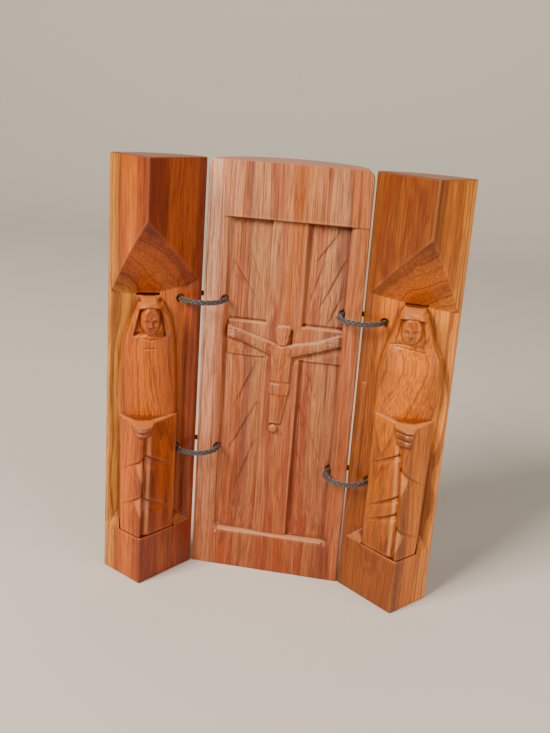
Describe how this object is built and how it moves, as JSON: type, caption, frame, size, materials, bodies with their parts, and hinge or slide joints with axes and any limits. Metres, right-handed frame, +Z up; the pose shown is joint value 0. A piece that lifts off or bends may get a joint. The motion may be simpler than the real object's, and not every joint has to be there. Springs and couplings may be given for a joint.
{
  "type": "folding triptych altarpiece",
  "caption": "Pocket triptych carved from one round log: half-log panel with a low-relief crucifix, two cord-hinged quarter-log wings with robed figures in niches.",
  "frame": {"origin": "middle of the centre panel's underside", "axes": "+Z up along the log's grain, -Y the carved front, +X to the viewer's right"},
  "size_m": [0.1182, 0.0467, 0.15],
  "materials": {
    "panel_wood": "pinkish brown hardwood, hand-carved, waxed to a satin",
    "wing_wood": "orange-brown heartwood, hand-carved, waxed to a satin",
    "cord": "dark grey braided cord"
  },
  "bodies": {
    "centre": {"centre_panel": "panel_wood", "cord_loop_left_upper": "cord", "cord_loop_left_lower": "cord", "cord_loop_right_upper": "cord", "cord_loop_right_lower": "cord"},
    "left_wing": {"left_wing": "wing_wood"},
    "right_wing": {"right_wing": "wing_wood"}
  },
  "joints": [
    {"name": "left_wing_hinge", "type": "hinge", "parent": "centre", "child": "left_wing", "pos_m": [-0.0279, -0.0122, 0.075], "axis": [0, 0, 1], "range_deg": [-60, 120]},
    {"name": "right_wing_hinge", "type": "hinge", "parent": "centre", "child": "right_wing", "pos_m": [0.0279, -0.0122, 0.075], "axis": [0, 0, -1], "range_deg": [-38.5, 141.5]}
  ]
}
